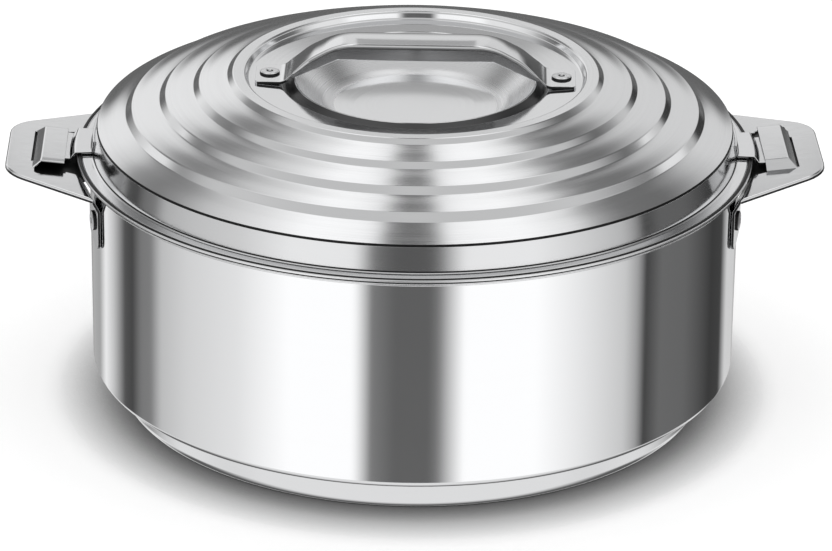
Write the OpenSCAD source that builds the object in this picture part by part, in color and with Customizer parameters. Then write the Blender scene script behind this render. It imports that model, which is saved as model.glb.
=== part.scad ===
// Insulated casserole: a double-walled steel pot with a twist-lock lid.
// The origin is at the centre of the base, +Z is up and the side handles lie along X.
// The lid is shown locked. It turns counter-clockwise, seen from above, to unlock.

/* [Body] */
// Outer radius of the pot wall
body_r = 126.5; // [118:0.5:140]
// Height of the ledge that the lid rests above
rim_h = 99.3; // [90:0.5:140]
// Thickness of the steel of the pot
sheet_t = 0.8; // [0.6:0.05:1]
// Thickness of the insulation in the wall
wall_foam_t = 7.4; // [6:0.1:9]
// Thickness of the insulation under the bowl
floor_foam_t = 9; // [6:0.5:16]
// Outer radius of the bend at the foot of the pot wall
body_corner_r = 6; // [3:0.5:8]
// Inner radius of the bend at the floor of the bowl
bowl_corner_r = 15; // [8:0.5:22]
// Reach of the rolled rim past the pot wall
rim_overhang = 5; // [4.5:0.1:5.2]
// Diameter of the rolled bead along the rim
bead_d = 2; // [1.8:0.1:2.2]
// Height of the top of the bead above the ledge
bead_rise = 1.8; // [1.6:0.1:1.9]
// Diameter of the hole that the insulation is filled through
fill_hole_d = 20; // [10:1:40]

/* [Base] */
// Height of the base pan under the pot
base_h = 14; // [10:0.5:20]
// Distance from the pot wall in to the base pan
base_inset = 9; // [8.5:0.5:14]
// Radius that the base pan loses on the way down
base_taper = 2; // [0.5:0.25:5]
// Outer radius of the bend at the foot of the base pan
base_corner_r = 5; // [2:0.5:7]
// Width of the ring that stands on the table
foot_ring_w = 14; // [8:0.5:24]
// Height of the hollow inside the foot ring
foot_hollow_h = 1.5; // [1.5:0.1:3]
// Width of the welded flange at the top of the base pan
base_flange_w = 9; // [5:0.5:20]

/* [Lid shell] */
// Thickness of the steel of the lid
lid_sheet_t = 0.65; // [0.5:0.05:0.75]
// Gap between parts that move against each other
run_gap = 0.3; // [0.3:0.01:0.34]
// Distance from the foot of the lid skirt in to the pot wall
skirt_inset = 1.2; // [0.5:0.1:3]
// Radius that the lid skirt loses on the way up
skirt_taper = 1.8; // [0.5:0.1:3]
// Height of the lid skirt above the flange
skirt_h = 10.5; // [8:0.25:16]
// Number of steps in the top of the lid
step_count = 4; // [3:1:4]
// Distance from the top of the lid skirt in to the outermost step
step_inset = 11.3; // [9.5:0.1:13]
// Distance from one step in to the next
step_pitch = 13.1; // [12:0.1:13.2]
// Rise of the sloping band below the outermost step
first_band_rise = 4.3; // [3:0.1:6]
// Rise of each of the other sloping bands
band_rise = 2.2; // [1:0.1:3]
// Rise of the outermost step
first_step_rise = 3.1; // [2.4:0.1:4]
// Rise of the innermost step
last_step_rise = 1.8; // [1.6:0.1:3]
// Radius that each step loses on the way up
step_run = 2.1; // [1:0.1:3]
// Width of the flat top ring inside the innermost step
top_ring_w = 4.8; // [3.8:0.1:6.5]
// Depth of the panel inside the top ring
panel_depth = 3.2; // [2.2:0.1:5]
// Width of the panel between the top ring and the groove
panel_w = 12.9; // [12.7:0.1:16]
// Width of the outer slope of the groove
groove_run = 1.5; // [1:0.1:2]
// Depth of the groove below the panel
groove_depth = 2.4; // [1:0.1:3]
// Width of the groove around the finger well
groove_w = 5.6; // [5:0.1:9]
// Width of the sloping wall of the finger well
well_wall_w = 12; // [9.5:0.25:14.5]
// Radius of the bend around the floor of the finger well
well_bend_r = 8; // [4:0.25:9]
// Depth of the middle of the finger well below its lip
well_depth = 11.6; // [8:0.1:12]
// Dish of the floor of the finger well
well_dish = 1; // [0.4:0.1:2]

/* [Lid liner and seal] */
// Gap between the plug of the lid and the wall of the bowl
plug_gap = 2.9; // [2.6:0.05:4]
// Depth of the plug below the flange
plug_depth = 11; // [10:0.25:20]
// Reach of the shoulder that holds the seal on the plug
seal_hold = 1.3; // [0.8:0.1:1.5]
// Height of the seal ring
seal_h = 4.8; // [4:0.1:6]

/* [Side handles] */
// Reach of each side handle from the pot wall
handle_reach = 32; // [30:0.5:40]
// Width of a side handle where it meets the pot
handle_w = 91.4; // [88:0.4:98]
// Width of a side handle at its tip, before the corners are rounded
handle_tip_w = 49.5; // [46:0.5:56]
// Radius of the rounded corners at the tip
handle_corner_r = 15.5; // [8:0.5:18]
// Thickness of the steel of the side handles
handle_t = 0.9; // [0.7:0.05:1]
// Depth of the edge turned down along a side handle
handle_edge_h = 1.7; // [1.5:0.1:4]
// Upward tilt of the side handles
handle_tilt = 6; // [5:0.25:7]
// Drop from the top of the handle at the pot wall to the flange of the rim
handle_drop = 0.6; // [0.6:0.05:1]
// Angle of each fixing ear from the middle of the handle
ear_angle = 13.6; // [13:0.1:14]
// Width of a fixing ear
ear_w = 15.8; // [12:0.2:16.4]
// Length of the fixing ears below the ledge
ear_len = 29; // [26:0.2:34]
// Depth of the rivets below the ledge
rivet_drop = 17.5; // [16:0.1:18]

/* [Lock] */
// Width of each lid lug
lug_w = 27.6; // [20:0.2:28]
// Thickness of the steel of the lugs
lug_t = 0.8; // [0.6:0.05:0.85]
// Reach of the lugs past the pot wall
lug_reach = 15.6; // [14:0.1:16.5]
// Height of the weld tab of a lug on the lid skirt
lug_tab_h = 5; // [3:0.25:7]
// Drop of the lug behind the bead of the rim
lug_drop = 2.4; // [2.2:0.05:2.5]
// Angle of the locked lugs from the middle of the handles
lug_turn = -0.8; // [-1:0.1:1]
// Distance from the pot wall to the open side of the pocket
pocket_offset = 9.4; // [9:0.1:10]
// Radial width of the pocket roof
pocket_w = 9; // [8.6:0.1:10]
// Length of the pocket roof across the handle
pocket_len = 32; // [31:0.5:33]
// Height of the pocket roof above the handle
pocket_h = 3.4; // [3.3:0.1:4.4]
// Width of the sloping sides of the pocket
pocket_slope_w = 3.2; // [2.8:0.1:3.4]
// Width of the slit at the outer foot of the pocket
pocket_slit_w = 1; // [0.8:0.05:1.4]
// Thickness of the floor sheet under the pocket
pocket_floor_t = 0.5; // [0.4:0.05:0.7]

/* [Lid handle] */
// Gap between the groove and the backing washers under the lid handle
washer_room = 0.9; // [0.7:0.05:1.5]
// Height of the lid handle above the panel
lid_handle_h = 16.4; // [14:0.2:30]
// Width of the lid handle at its feet
foot_w = 19.2; // [17:0.2:22]
// Length of each foot
foot_len = 11; // [10:0.5:13]
// Width of the lid handle at the grip
grip_w = 16; // [12:0.2:16.4]
// Run of each leg of the lid handle from its foot in to the flat top
leg_run = 21; // [18:0.5:26]
// Depth of the edges turned down along the grip
grip_edge_h = 6.4; // [3:0.2:7]
// Outward bulge of the legs of the lid handle
leg_bulge = 1.8; // [0.4:0.1:2.4]
// Thickness of the steel of the lid handle
lid_handle_t = 1.2; // [0.8:0.1:1.4]
// Angle of the lid handle from the line through the lugs
lid_handle_turn = -2.5; // [-4:0.5:4]

/* [Rivets] */
// Diameter of the rivet heads
rivet_head_d = 7.8; // [6.4:0.2:9]
// Height of the rivet heads
rivet_head_h = 1.6; // [1:0.1:2]
// Diameter of the rivet shanks
rivet_shank_d = 4; // [3:0.1:4.4]
// Diameter of the formed ends of the rivets
rivet_tail_d = 5.6; // [5:0.1:6]
// Outer diameter of the backing washers
washer_d = 7; // [6.4:0.1:7.2]
// Thickness of the backing washers
washer_t = 1; // [0.8:0.1:1.2]

/* [Hidden] */

$fn = 96;
steel = [0.78, 0.79, 0.8];
satin_steel = [0.68, 0.69, 0.7];
foam_yellow = [0.85, 0.76, 0.5];
silicone_white = [0.88, 0.88, 0.86];
plug_black = [0.1, 0.1, 0.1];

// Clearance of fixed pieces that lie against each other, and the overrun of cuts
seat_gap = sheet_t / 8;
weld_gap = sheet_t / 16;
over = sheet_t;
// Straight pieces in a rounded corner and in the floor of the finger well, and the first
// of the latter that lies inside the bend around the floor
corner_steps = 6;
well_steps = 10;
floor_from = 3;

// Radius of a bend, as a share of the thickness of its sheet
bend_share = 1.5;

function arc(c, r, a0, a1, n = corner_steps) =
    [for (i = [0:n]) let (a = a0 + (a1 - a0) * i / n) [c.x + r * cos(a), c.y + r * sin(a)]];
function unit(v) = v / norm(v);
function left_of(v) = [-v.y, v.x];
// Point i of a path, moved t to the left of the path
function side_point(p, i, t) =
    let (a = i > 0 ? left_of(unit(p[i] - p[i - 1])) : left_of(unit(p[i + 1] - p[i])),
        b = i < len(p) - 1 ? left_of(unit(p[i + 1] - p[i])) : a)
    p[i] + (a + b) * t / (1 + a * b);
function side_path(p, t) = [for (i = [0:len(p) - 1]) side_point(p, i, t)];
function reversed(p) = [for (i = [len(p) - 1:-1:0]) p[i]];
// Outline of a sheet that follows a path and is t thick to its left
function sheet(p, t) = concat(p, reversed(side_path(p, t)));
// Outline of a revolved part, with points next to the axis put on it
function on_axis(p) = [for (q = p) [q.x < over / 4 ? 0 : q.x, q.y]];
// Points of a fillet of radius r at corner b between a and c
function fillet(a, b, c, r) =
    let (u = unit(a - b), v = unit(c - b), half = acos(u * v) / 2,
        centre = b + unit(u + v) * r / sin(half), s = b + u * r / tan(half) - centre,
        e = b + v * r / tan(half) - centre, a0 = atan2(s.y, s.x),
        turn = atan2(e.y, e.x) - a0,
        sweep = turn > 180 ? turn - 360 : turn < -180 ? turn + 360 : turn)
    arc(centre, r, a0, a0 + sweep);
// Open path through points [x, y, fillet radius]
function smooth(p) = [for (i = [0:len(p) - 1])
    let (b = [p[i].x, p[i].y])
    each (i == 0 || i == len(p) - 1 || p[i].z == 0) ? [b]
        : fillet([p[i - 1].x, p[i - 1].y], b, [p[i + 1].x, p[i + 1].y], p[i].z)];
// Closed outline through points [x, y, fillet radius]
function outline(p) = [for (i = [0:len(p) - 1])
    let (n = len(p), a = p[(i + n - 1) % n], b = p[i], c = p[(i + 1) % n])
    each b.z == 0 ? [[b.x, b.y]] : fillet([a.x, a.y], [b.x, b.y], [c.x, c.y], b.z)];

// Pot
shell_in_r = body_r - sheet_t;
bowl_out_r = shell_in_r - wall_foam_t;
bowl_r = bowl_out_r - sheet_t;
bowl_floor = base_h + sheet_t + floor_foam_t + sheet_t;
bead_r = bead_d / 2;
bead_at = [body_r + rim_overhang - bead_r, rim_h + bead_rise - bead_r];
bend_r = bend_share * sheet_t;
fill_hole_r = fill_hole_d / 2;
shell_path = smooth([[fill_hole_r, base_h, 0], [body_r, base_h, body_corner_r],
    [body_r, rim_h - 2 * sheet_t, bend_r], [bead_at.x - bead_r, rim_h - 2 * sheet_t, 0]]);
bowl_path = smooth([[bead_at.x, rim_h, 0], [bowl_r, rim_h, bend_r],
    [bowl_r, bowl_floor, bowl_corner_r], [0, bowl_floor, 0]]);
foam_top = rim_h - sheet_t - seat_gap;
foam_low = base_h + sheet_t + seat_gap;
foam_floor = bowl_floor - sheet_t - seat_gap;
foam_outline = concat([[0, foam_low]],
    smooth([[fill_hole_r, foam_low, 0],
        [shell_in_r - seat_gap, foam_low, body_corner_r - sheet_t - seat_gap],
        [shell_in_r - seat_gap, foam_top, 0],
        [bowl_out_r + seat_gap, foam_top, bend_r - sheet_t - seat_gap],
        [bowl_out_r + seat_gap, foam_floor, bowl_corner_r + sheet_t + seat_gap],
        [0, foam_floor, 0]]));
plug_shank_share = 0.33;
plug_shank_h = plug_shank_share * floor_foam_t;
plug_flange_share = 1.3;
plug_flange_r = plug_flange_share * fill_hole_r;

// Base pan
base_r = body_r - base_inset;
base_foot_r = base_r - base_taper;
foot_in_r = base_foot_r - base_corner_r - foot_ring_w;
base_path = smooth([[base_r - base_flange_w, base_h, 0], [base_r, base_h, bend_r],
    [base_foot_r, 0, base_corner_r], [foot_in_r, 0, bend_r],
    [foot_in_r - 2 * foot_hollow_h, foot_hollow_h, bend_r], [0, foot_hollow_h, 0]]);

// Lid shell
liner_z = rim_h + run_gap;
flange_z = liner_z + 2 * lid_sheet_t;
flange_r = bead_at.x - bead_r - run_gap;
lid_bend_r = bend_share * lid_sheet_t;
skirt_foot_r = body_r - skirt_inset;
skirt_top = [skirt_foot_r - skirt_taper, flange_z + skirt_h];
function step_rise(i) =
    first_step_rise + (last_step_rise - first_step_rise) * i / (step_count - 1);
function step_foot_z(i) = i == 0 ? skirt_top.y + first_band_rise
    : step_foot_z(i - 1) + step_rise(i - 1) + band_rise;
ring_z = step_foot_z(step_count - 1) + last_step_rise;
panel_z = ring_z - panel_depth;
step_first_r = skirt_top.x - step_inset;
ring_inner_r = step_first_r - (step_count - 1) * step_pitch - step_run - top_ring_w;
panel_r = ring_inner_r - lid_bend_r;
groove_outer_r = panel_r - panel_w;
well_r = groove_outer_r - groove_w;
well_floor_r = well_r - well_wall_w;
steps = [for (i = [0:step_count - 1]) each
    [[step_first_r - i * step_pitch, step_foot_z(i), lid_bend_r],
        [step_first_r - i * step_pitch - step_run, step_foot_z(i) + step_rise(i), lid_bend_r]]];
// The floor of the finger well is part of a ball
floor_ball_r = (well_floor_r * well_floor_r + well_dish * well_dish) / (2 * well_dish);
floor_half = asin(well_floor_r / floor_ball_r);
floor_arc = arc([0, panel_z - well_depth + floor_ball_r], floor_ball_r, floor_half - 90, -90,
    well_steps);
lid_path = concat(smooth(concat([[flange_r, flange_z, 0], [skirt_foot_r, flange_z, lid_bend_r],
    [skirt_top.x, skirt_top.y, lid_bend_r]], steps,
    [[ring_inner_r, ring_z, lid_bend_r], [panel_r, panel_z, lid_bend_r],
        [groove_outer_r, panel_z, lid_bend_r],
        [groove_outer_r - groove_run, panel_z - groove_depth, lid_bend_r / 2],
        [well_r, panel_z, lid_bend_r], [floor_arc[0].x, floor_arc[0].y, well_bend_r],
        [floor_arc[floor_from].x, floor_arc[floor_from].y, 0]])),
    [for (i = [floor_from + 1:well_steps]) floor_arc[i]]);

// Lid liner and seal
plug_r = bowl_r - plug_gap;
plug_floor_z = liner_z - plug_depth;
seal_seat_z = liner_z - seal_h - 2 * run_gap;
liner_path = smooth([[flange_r, liner_z, 0], [plug_r, liner_z, lid_bend_r],
    [plug_r, seal_seat_z, 0], [plug_r + seal_hold, seal_seat_z - seal_hold, 0],
    [plug_r + seal_hold, plug_floor_z, 2 * lid_bend_r], [0, plug_floor_z, 0]]);
seal_low = seal_seat_z + run_gap;
seal_in_r = plug_r + run_gap;
seal_rib_r = bowl_r - run_gap;
seal_rib_share = 0.33;
seal_groove_r = seal_rib_r - seal_rib_share * (seal_rib_r - seal_in_r);
// Heights of the corners of the two ribs, as shares of the height of the seal
rib_shares = [0.12, 0.24, 0.36, 0.48, 0.6, 0.72, 0.84];

// Side handles. Along a handle, u is measured from the pot axis and v across it
handle_z = rim_h - 2 * sheet_t - handle_drop;
tip_u = body_r + handle_reach;
arm_v = handle_w / 2;
rim_r = body_r + rim_overhang;
arm_u = sqrt(rim_r * rim_r - arm_v * arm_v);
ear_v = rim_r * sin(ear_angle);
ear_cut_share = 0.54;
cut_v = ear_v - ear_cut_share * ear_w;
// The inner edge of the handle runs just outside the bead
function inner_u(v) = (rim_r + bead_r / 2 - v * sin(ear_angle)) / cos(ear_angle);
edge_path = smooth([[arm_u, arm_v, 0], [tip_u, handle_tip_w / 2, handle_corner_r],
    [tip_u, -handle_tip_w / 2, handle_corner_r], [arm_u, -arm_v, 0]]);
pocket_u = body_r + pocket_offset;
roof_u = pocket_u + pocket_w;
half_roof = pocket_len / 2;
throat_share = 1.4;
throat_v = half_roof + throat_share * pocket_slope_w;
arm_end_share = 2.5;
arm_end = [arm_u + over, arm_v - arm_end_share * over];
plate_outline = concat(edge_path, [[arm_end.x, -arm_end.y],
    [inner_u(cut_v), -cut_v], [pocket_u, -throat_v], [pocket_u, throat_v],
    [inner_u(cut_v), cut_v], arm_end]);
// Everything inside the edge that is turned down
edge_in = side_path(edge_path, -handle_t);
edge_end_v = edge_in[0].y;
inside_edge = concat(edge_in, [[bowl_r, -edge_end_v], [bowl_r, edge_end_v]]);
slot_slope_share = 0.7;
slot_u = roof_u + slot_slope_share * pocket_slope_w;
slot_share = 2.8;
slot_v = half_roof + slot_share * pocket_slope_w;
slot_corner_share = 0.7;
slot_r = slot_corner_share * pocket_slope_w;
slot_outline = outline([[pocket_u - over, 0, 0], [slot_u, 0, 0], [slot_u, slot_v, slot_r],
    [pocket_u + slot_r / 2, slot_v, slot_r], [pocket_u - over, throat_v, 0]]);
// The slit along the outer foot of the pocket stops short of its open end
slit_start_share = 0.3;
slit_end_share = 0.6;
slit_u = roof_u + pocket_slope_w - slit_start_share * pocket_slit_w;
slit_outline = [[slit_u, -half_roof - slit_end_share * pocket_slope_w],
    [slit_u + pocket_slit_w, -half_roof - slit_end_share * pocket_slope_w],
    [slit_u + pocket_slit_w, half_roof - pocket_slope_w], [slit_u, half_roof - pocket_slope_w]];
// The floor sheet reaches past all the openings of the pocket and in under the bead
floor_in_r = bead_at.x - bead_r + over / 2;
floor_v = slot_v + over;
floor_u = slit_u + 2 * pocket_slit_w + over;
floor_outline = [[body_r, -floor_v], [floor_u, -floor_v], [floor_u, floor_v], [body_r, floor_v]];
// Sections of the pocket across its open side and along its length
roof_path = [[pocket_u, pocket_h], [roof_u, pocket_h], [roof_u + pocket_slope_w, 0],
    [roof_u + 2 * pocket_slope_w, 0]];
lip_drop_share = 0.25;
lip_drop = lip_drop_share * handle_t;
long_path = [[-half_roof - 2 * pocket_slope_w, 0], [-half_roof - pocket_slope_w, 0],
    [-half_roof, pocket_h], [half_roof, pocket_h],
    [half_roof + pocket_slope_w, pocket_h - lip_drop]];
roof_in = side_path(roof_path, -handle_t);
long_in = side_path(long_path, -handle_t);
cut_w = -2 * handle_t;
// Point at height w on the line through a and b
function at_height(a, b, w) = a + (b - a) * (w - a.y) / (b.y - a.y);
ear_share = 1.2;
ear_t = ear_share * handle_t;
ear_r = body_r + seat_gap;
ear_foot = rim_h - ear_len;
rivet_z = rim_h - rivet_drop;
ear_bend_share = 0.8;
ear_bend_z = rivet_z + ear_bend_share * rivet_head_d;
ear_path = smooth([[ear_r, ear_foot, 0], [ear_r, ear_bend_z, 2 * ear_t],
    [rim_r - bead_r / 2, handle_z - ear_t / 8, 2 * ear_t],
    [rim_r + bead_d, handle_z + ear_t / 8, 0]]);
ear_corner_share = 0.25;
ear_corner_r = ear_corner_share * ear_w;
ear_slant_share = 0.3;
ear_slant = ear_slant_share * ear_w;
ear_outline = outline([[-ear_w / 2, ear_foot + ear_slant, ear_corner_r],
    [ear_w / 2, ear_foot, ear_corner_r], [ear_w / 2, rim_h, 0], [-ear_w / 2, rim_h, 0]]);

// Lugs
lug_z = rim_h + bead_rise + run_gap;
lug_out_r = body_r + lug_reach;
lug_half = asin(lug_w / (2 * lug_out_r));
lug_edge_r = rim_r + lug_t / 2;
lug_slope_share = 0.8;
lug_low = [lug_edge_r + lug_slope_share * lug_drop, lug_z - lug_drop];
function skirt_r(z) = skirt_foot_r - skirt_taper * (z - flange_z) / skirt_h + weld_gap;
lug_path = smooth([[skirt_r(lug_z + lug_tab_h), lug_z + lug_tab_h, 0],
    [skirt_r(lug_z), lug_z, bend_share * lug_t], [lug_edge_r, lug_z, lug_t / 2],
    [lug_low.x, lug_low.y, bend_share * lug_t],
    [lug_out_r, lug_low.y + (lug_out_r - lug_low.x) * tan(handle_tilt), 0]]);

// Lid handle
foot_top_z = panel_z + lid_handle_t;
half_span = groove_outer_r + washer_d / 2 + washer_room;
foot_x = half_span - foot_len / 2;
foot_end_x = half_span + foot_len / 2;
grip_z = panel_z + lid_handle_h;
half_grip = foot_x - leg_run;
foot_bend_share = 3;
foot_bend_r = foot_bend_share * lid_handle_t;
grip_bend_share = 9;
lip_rise_share = 0.33;
foot_corner_share = 0.1;
leg = [half_grip - foot_x, grip_z - foot_top_z];
knee = [foot_x, foot_top_z] + leg / 2 + leg_bulge * unit([leg.y, -leg.x]);
knee_r = grip_w;
arch_half = smooth([[foot_end_x + over, foot_top_z, 0], [foot_x, foot_top_z, foot_bend_r],
    [knee.x, knee.y, knee_r], [half_grip, grip_z, grip_bend_share * lid_handle_t], [0, grip_z, 0]]);
arch_path = concat(arch_half, [for (i = [len(arch_half) - 2:-1:0])
    [-arch_half[i].x, arch_half[i].y]]);
lip_z = grip_z - grip_edge_h;
lip_foot = [foot_x - foot_bend_r, foot_top_z + lip_rise_share * foot_bend_r];
lip_outline = concat([for (q = arch_path) if (abs(q.x) < foot_x - foot_bend_r) q],
    [[-lip_foot.x, lip_foot.y], [-half_grip, lip_z], [half_grip, lip_z], lip_foot]);
// One quarter of the handle seen from above, with its side moved in by d
function quarter(d) = [[foot_end_x, foot_w / 2 - d, foot_corner_share * foot_w],
    [foot_x, foot_w / 2 - d, 0],
    [half_grip, grip_w / 2 - d, 0]];
function scaled(p, k) = [for (q = p) [q.x * k.x, q.y * k.y, q.z]];
function plan(d) = outline(concat(quarter(d), scaled(reversed(quarter(d)), [-1, 1]),
    scaled(quarter(d), [-1, -1]), scaled(reversed(quarter(d)), [1, -1])));

// Rivets
head_r = rivet_head_d / 2;
shank_r = rivet_shank_d / 2;
bore_r = shank_r + seat_gap;
dome_r = (head_r * head_r + rivet_head_h * rivet_head_h) / (2 * rivet_head_h);
dome_arc = arc([0, rivet_head_h - dome_r], dome_r, 90 - asin(head_r / dome_r), 90);
tail_h = washer_t;

outer_body();
inner_bowl();
body_foam();
foam_plug();
base_cover();
right_handle();
left_handle();
right_handle_rivets();
left_handle_rivets();
right_handle_washers();
left_handle_washers();
seal_ring();
lid_outer();
lid_inner();
lid_foam();
right_lug();
left_lug();
lid_handle();
lid_handle_rivets();
lid_handle_washers();

// Places its children at the four rivets of the side handles, or at two of them
module at_ears(sides = [0, 180]) {
    for (side = sides, a = [-ear_angle, ear_angle])
        rotate([0, 0, side + a])
            translate([0, 0, rivet_z])
                children();
}

// Places its children at the two rivets of the lid handle
module at_feet() {
    for (side = [0, 180])
        rotate([0, 0, lid_handle_turn + side])
            translate([half_span, 0, 0])
                children();
}

// Cylinder along +X from x0 to x1
module rod_x(r, x0, x1) {
    translate([x0, 0, 0])
        rotate([0, 90, 0])
            cylinder(r = r, h = x1 - x0);
}

// Rivet along Z. Its head sits at z = 0 and its formed end is below the grip length
module rivet(grip) {
    rotate_extrude()
        polygon(concat([[0, -grip - tail_h], [rivet_tail_d / 2, -grip - tail_h],
            [rivet_tail_d / 2, -grip], [shank_r, -grip], [shank_r, 0]],
            [for (q = dome_arc) [q.x < over / 4 ? 0 : q.x, q.y]]));
}

module washer() {
    difference() {
        cylinder(d = washer_d, h = washer_t);
        translate([0, 0, -over])
            cylinder(r = bore_r, h = washer_t + 2 * over);
    }
}

module outer_body() {
    color(steel)
        difference() {
            rotate_extrude()
                polygon(sheet(shell_path, sheet_t));
            at_ears()
                rod_x(bore_r, bowl_out_r, body_r + over);
        }
}

module inner_bowl() {
    color(steel)
        union() {
            rotate_extrude()
                polygon(on_axis(sheet(bowl_path, sheet_t)));
            rotate_extrude()
                translate(bead_at)
                    circle(r = bead_r, $fn = 24);
        }
}

// The backs of the rivets sit in pockets of the insulation
module body_foam() {
    color(foam_yellow)
        difference() {
            rotate_extrude()
                polygon(foam_outline);
            at_ears()
                rod_x(washer_d / 2 + seat_gap, washer_x - washer_t - tail_h - seat_gap,
                    body_r + over);
            translate([0, 0, base_h])
                cylinder(r = fill_hole_r + seat_gap, h = sheet_t + plug_shank_h + 2 * seat_gap);
        }
}

module foam_plug() {
    color(plug_black)
        union() {
            translate([0, 0, base_h - sheet_t])
                cylinder(r = plug_flange_r, h = sheet_t);
            translate([0, 0, base_h - sheet_t])
                cylinder(r = fill_hole_r - seat_gap, h = plug_shank_h + 2 * sheet_t);
        }
}

module base_cover() {
    color(steel)
        rotate_extrude()
            polygon(on_axis(sheet(base_path, -sheet_t)));
}

// The handle's own plane, tilted up away from the pot
module on_handle() {
    translate([body_r, 0, handle_z])
        rotate([0, -handle_tilt, 0])
            translate([-body_r, 0, 0])
                children();
}

// Block with one section across the handle and another one along its width
module crossed(across, along) {
    intersection() {
        translate([0, handle_w / 2, 0])
            rotate([90, 0, 0])
                linear_extrude(handle_w)
                    polygon(across);
        rotate([90, 0, 90])
            linear_extrude(tip_u)
                polygon(along);
    }
}

// Plate of the handle with its outer edge turned down
module handle_plate() {
    difference() {
        translate([0, 0, -handle_edge_h])
            linear_extrude(handle_edge_h)
                polygon(plate_outline);
        translate([0, 0, -handle_edge_h - over])
            linear_extrude(handle_edge_h + over - handle_t)
                polygon(inside_edge);
    }
}

module pocket_block() {
    crossed([[pocket_u, -handle_t / 2], [pocket_u, pocket_h], roof_path[1], roof_path[2],
        [roof_path[2].x, -handle_t / 2]],
        [[long_path[1].x, -handle_t / 2], long_path[1], long_path[2], long_path[3],
            long_path[4], [long_path[4].x, -handle_t / 2]]);
}

module pocket_hollow() {
    crossed([[pocket_u - over, cut_w], [pocket_u - over, roof_in[1].y], roof_in[1],
        at_height(roof_in[1], roof_in[2], cut_w)],
        [at_height(long_in[2], long_in[1], cut_w), long_in[2], long_in[3],
            long_in[3] + 2 * (long_in[4] - long_in[3]),
            [2 * long_in[4].x - long_in[3].x, cut_w]]);
}

module ear() {
    intersection() {
        translate([0, ear_w, 0])
            rotate([90, 0, 0])
                linear_extrude(2 * ear_w)
                    polygon(sheet(ear_path, -ear_t));
        rotate([90, 0, 90])
            linear_extrude(tip_u)
                polygon(ear_outline);
    }
}

// Plate, pocket roof and ears in one piece of sheet
module handle_sheet() {
    difference() {
        union() {
            on_handle()
                handle_plate();
            on_handle()
                pocket_block();
            rotate([0, 0, ear_angle])
                ear();
            rotate([0, 0, -ear_angle])
                mirror([0, 1, 0])
                    ear();
        }
        on_handle()
            pocket_hollow();
        on_handle()
            translate([0, 0, -2 * handle_t])
                linear_extrude(2 * handle_t + over / 2)
                    polygon(slot_outline);
        on_handle()
            translate([0, 0, -2 * handle_t])
                linear_extrude(2 * handle_t + over / 2)
                    polygon(slit_outline);
        at_ears([0])
            rod_x(bore_r, bowl_r, tip_u);
    }
}

// Sheet welded below the plate, so that the pocket is closed from below
module pocket_floor() {
    difference() {
        on_handle()
            translate([0, 0, -handle_t - pocket_floor_t])
                linear_extrude(pocket_floor_t + weld_gap)
                    polygon(floor_outline);
        translate([0, 0, ear_foot])
            cylinder(r = floor_in_r, h = ear_len);
    }
}

module side_handle() {
    union() {
        handle_sheet();
        pocket_floor();
    }
}

module right_handle() {
    color(steel)
        side_handle();
}

module left_handle() {
    color(steel)
        rotate([0, 0, 180])
            side_handle();
}

ear_face = ear_r + ear_t;
washer_x = sqrt(shell_in_r * shell_in_r - washer_d * washer_d / 4) - seat_gap;

module handle_rivets(sides) {
    at_ears(sides)
        translate([ear_face, 0, 0])
            rotate([0, 90, 0])
                rivet(ear_face - washer_x + washer_t);
}

module handle_washers(sides) {
    at_ears(sides)
        translate([washer_x - washer_t, 0, 0])
            rotate([0, 90, 0])
                washer();
}

module right_handle_rivets() {
    color(steel)
        handle_rivets([0]);
}

module left_handle_rivets() {
    color(steel)
        handle_rivets([180]);
}

module right_handle_washers() {
    color(steel)
        handle_washers([0]);
}

module left_handle_washers() {
    color(steel)
        handle_washers([180]);
}

module seal_ring() {
    color(silicone_white)
        rotate_extrude()
            polygon(concat([[seal_in_r, seal_low], [seal_groove_r, seal_low]],
                [for (i = [0:len(rib_shares) - 1])
                    [i % 4 == 1 || i % 4 == 2 ? seal_rib_r : seal_groove_r,
                        seal_low + seal_h * rib_shares[i]]],
                [[seal_groove_r, seal_low + seal_h], [seal_in_r, seal_low + seal_h]]));
}

module lid_outer() {
    color(satin_steel)
        difference() {
            rotate_extrude()
                polygon(on_axis(sheet(lid_path, lid_sheet_t)));
            at_feet()
                translate([0, 0, panel_z - 2 * lid_sheet_t])
                    cylinder(r = bore_r, h = 3 * lid_sheet_t);
        }
}

module lid_inner() {
    color(steel)
        rotate_extrude()
            polygon(on_axis(sheet(liner_path, -lid_sheet_t)));
}

lid_foam_t = lid_sheet_t + seat_gap;
foam_inset_share = 3;
lid_foam_r = skirt_foot_r - foam_inset_share * lid_sheet_t;
under_lid = [for (q = on_axis(side_path(lid_path, lid_foam_t))) if (q.x < lid_foam_r) q];
over_liner = [for (q = on_axis(side_path(liner_path, -lid_foam_t))) if (q.x < lid_foam_r) q];
washer_top_z = panel_z - lid_sheet_t;
lid_tail_z = washer_top_z - washer_t - tail_h;

module lid_foam() {
    color(foam_yellow)
        difference() {
            rotate_extrude()
                polygon(concat(under_lid, reversed(over_liner)));
            at_feet()
                translate([0, 0, lid_tail_z - seat_gap])
                    cylinder(r = washer_d / 2 + seat_gap, h = panel_z - lid_tail_z);
        }
}

module lug() {
    rotate([0, 0, lug_turn - lug_half])
        rotate_extrude(angle = 2 * lug_half)
            polygon(sheet(lug_path, lug_t));
}

module right_lug() {
    color(steel)
        lug();
}

module left_lug() {
    color(steel)
        rotate([0, 0, 180])
            lug();
}

// Prism as wide as the feet with the section seen from the front
module arch_prism(section) {
    translate([0, foot_w / 2, 0])
        rotate([90, 0, 0])
            linear_extrude(foot_w)
                polygon(section);
}

module plan_prism(d) {
    linear_extrude(grip_z + over)
        polygon(plan(d));
}

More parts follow.
